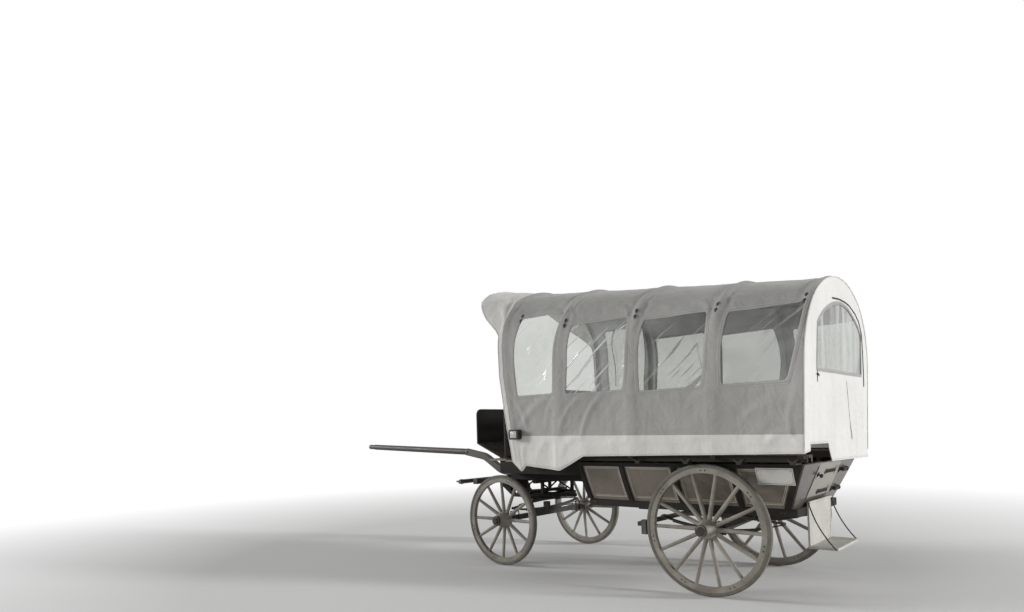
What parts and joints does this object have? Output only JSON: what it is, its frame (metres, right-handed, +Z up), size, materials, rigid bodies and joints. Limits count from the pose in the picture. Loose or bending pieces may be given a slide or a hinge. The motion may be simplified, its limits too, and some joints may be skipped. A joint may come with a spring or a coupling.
{
  "type": "wagonette",
  "caption": "Covered wagonette: wooden tub on elliptic springs and spoked wheels, turntable fore-carriage with pole, hooped canvas cover with clear windows",
  "frame": {"origin": "on the ground under the middle of the whole vehicle's box, pole included", "axes": "+X forward along the pole, +Y to the vehicle's left, +Z up"},
  "size_m": [6.4962, 1.8366, 3.0386],
  "materials": {
    "wheel_paint": "worn satin paint over wood",
    "rubber_tyre": "dusty solid rubber",
    "black_iron": "worn black paint",
    "dark_paint": "dark gloss paint over wood",
    "panel_paint": "dark coach paint with pale lines",
    "varnished_wood": "worn varnish",
    "bare_wood": "dusty planks",
    "canvas": "heavy coated canvas",
    "clear_sheet": "clear flexible sheet",
    "cushion_leather": "soft leather",
    "white_plate": "white enamel",
    "lamp_plastic": "lamp and reflector"
  },
  "bodies": {
    "carriage": {"rear_axle": "black_iron", "rear_springs": "black_iron", "underframe": "dark_paint", "floor": "bare_wood", "side_panels": "panel_paint", "side_frames": "dark_paint", "front_wall": "panel_paint", "tail_panel": "panel_paint", "step": "dark_paint", "side_rails": "dark_paint", "body_irons": "black_iron", "benches": "varnished_wood", "cover": "canvas", "windows": "clear_sheet", "rear_curtain": "canvas", "hoops": "black_iron", "hoop_rails": "black_iron", "boot": "dark_paint", "deck": "bare_wood", "dash": "dark_paint", "driver_seat": "dark_paint", "driver_cushion": "cushion_leather", "turntable_top": "black_iron", "brake_beam": "black_iron", "brake_shoes": "bare_wood", "blank_plate": "white_plate", "lamps": "lamp_plastic"},
    "fore_carriage": {"front_axle": "black_iron", "front_springs": "black_iron", "fore_frame": "dark_paint", "splinter_bar": "dark_paint", "pole": "varnished_wood"},
    "tail_door": {"tail_door": "panel_paint"},
    "swingletree_left": {"swingletree_left": "varnished_wood"},
    "swingletree_right": {"swingletree_right": "varnished_wood"},
    "wheel_rear_left": {"wheel_rear_left_wood": "wheel_paint", "wheel_rear_left_tyre": "rubber_tyre", "wheel_rear_left_irons": "black_iron"},
    "wheel_rear_right": {"wheel_rear_right_wood": "wheel_paint", "wheel_rear_right_tyre": "rubber_tyre", "wheel_rear_right_irons": "black_iron"},
    "wheel_front_left": {"wheel_front_left_wood": "wheel_paint", "wheel_front_left_tyre": "rubber_tyre", "wheel_front_left_irons": "black_iron"},
    "wheel_front_right": {"wheel_front_right_wood": "wheel_paint", "wheel_front_right_tyre": "rubber_tyre", "wheel_front_right_irons": "black_iron"}
  },
  "joints": [
    {"name": "steering", "type": "hinge", "parent": "carriage", "child": "fore_carriage", "pos_m": [-0.09907, 0, 0.677], "axis": [0, 0, 1], "range_deg": [-35, 35]},
    {"name": "tail_door_hinge", "type": "hinge", "parent": "carriage", "child": "tail_door", "pos_m": [-3.08752, -0.288, 0.90208], "axis": [-0.4033, 0, 0.9151], "range_deg": [0, 100]},
    {"name": "rear_left_wheel_spin", "type": "hinge", "parent": "carriage", "child": "wheel_rear_left", "pos_m": [-2.37307, 0.733, 0.54], "axis": [0, 1, 0], "continuous": true},
    {"name": "rear_right_wheel_spin", "type": "hinge", "parent": "carriage", "child": "wheel_rear_right", "pos_m": [-2.37307, -0.733, 0.54], "axis": [0, 1, 0], "continuous": true},
    {"name": "front_left_wheel_spin", "type": "hinge", "parent": "fore_carriage", "child": "wheel_front_left", "pos_m": [-0.09907, 0.75, 0.468], "axis": [0, 1, 0], "continuous": true},
    {"name": "front_right_wheel_spin", "type": "hinge", "parent": "fore_carriage", "child": "wheel_front_right", "pos_m": [-0.09907, -0.75, 0.468], "axis": [0, 1, 0], "continuous": true},
    {"name": "swingletree_left_pivot", "type": "hinge", "parent": "fore_carriage", "child": "swingletree_left", "pos_m": [0.47793, 0.4, 0.845], "axis": [0, 0, 1], "range_deg": [-12, 12]},
    {"name": "swingletree_right_pivot", "type": "hinge", "parent": "fore_carriage", "child": "swingletree_right", "pos_m": [0.47793, -0.4, 0.845], "axis": [0, 0, 1], "range_deg": [-12, 12]}
  ]
}
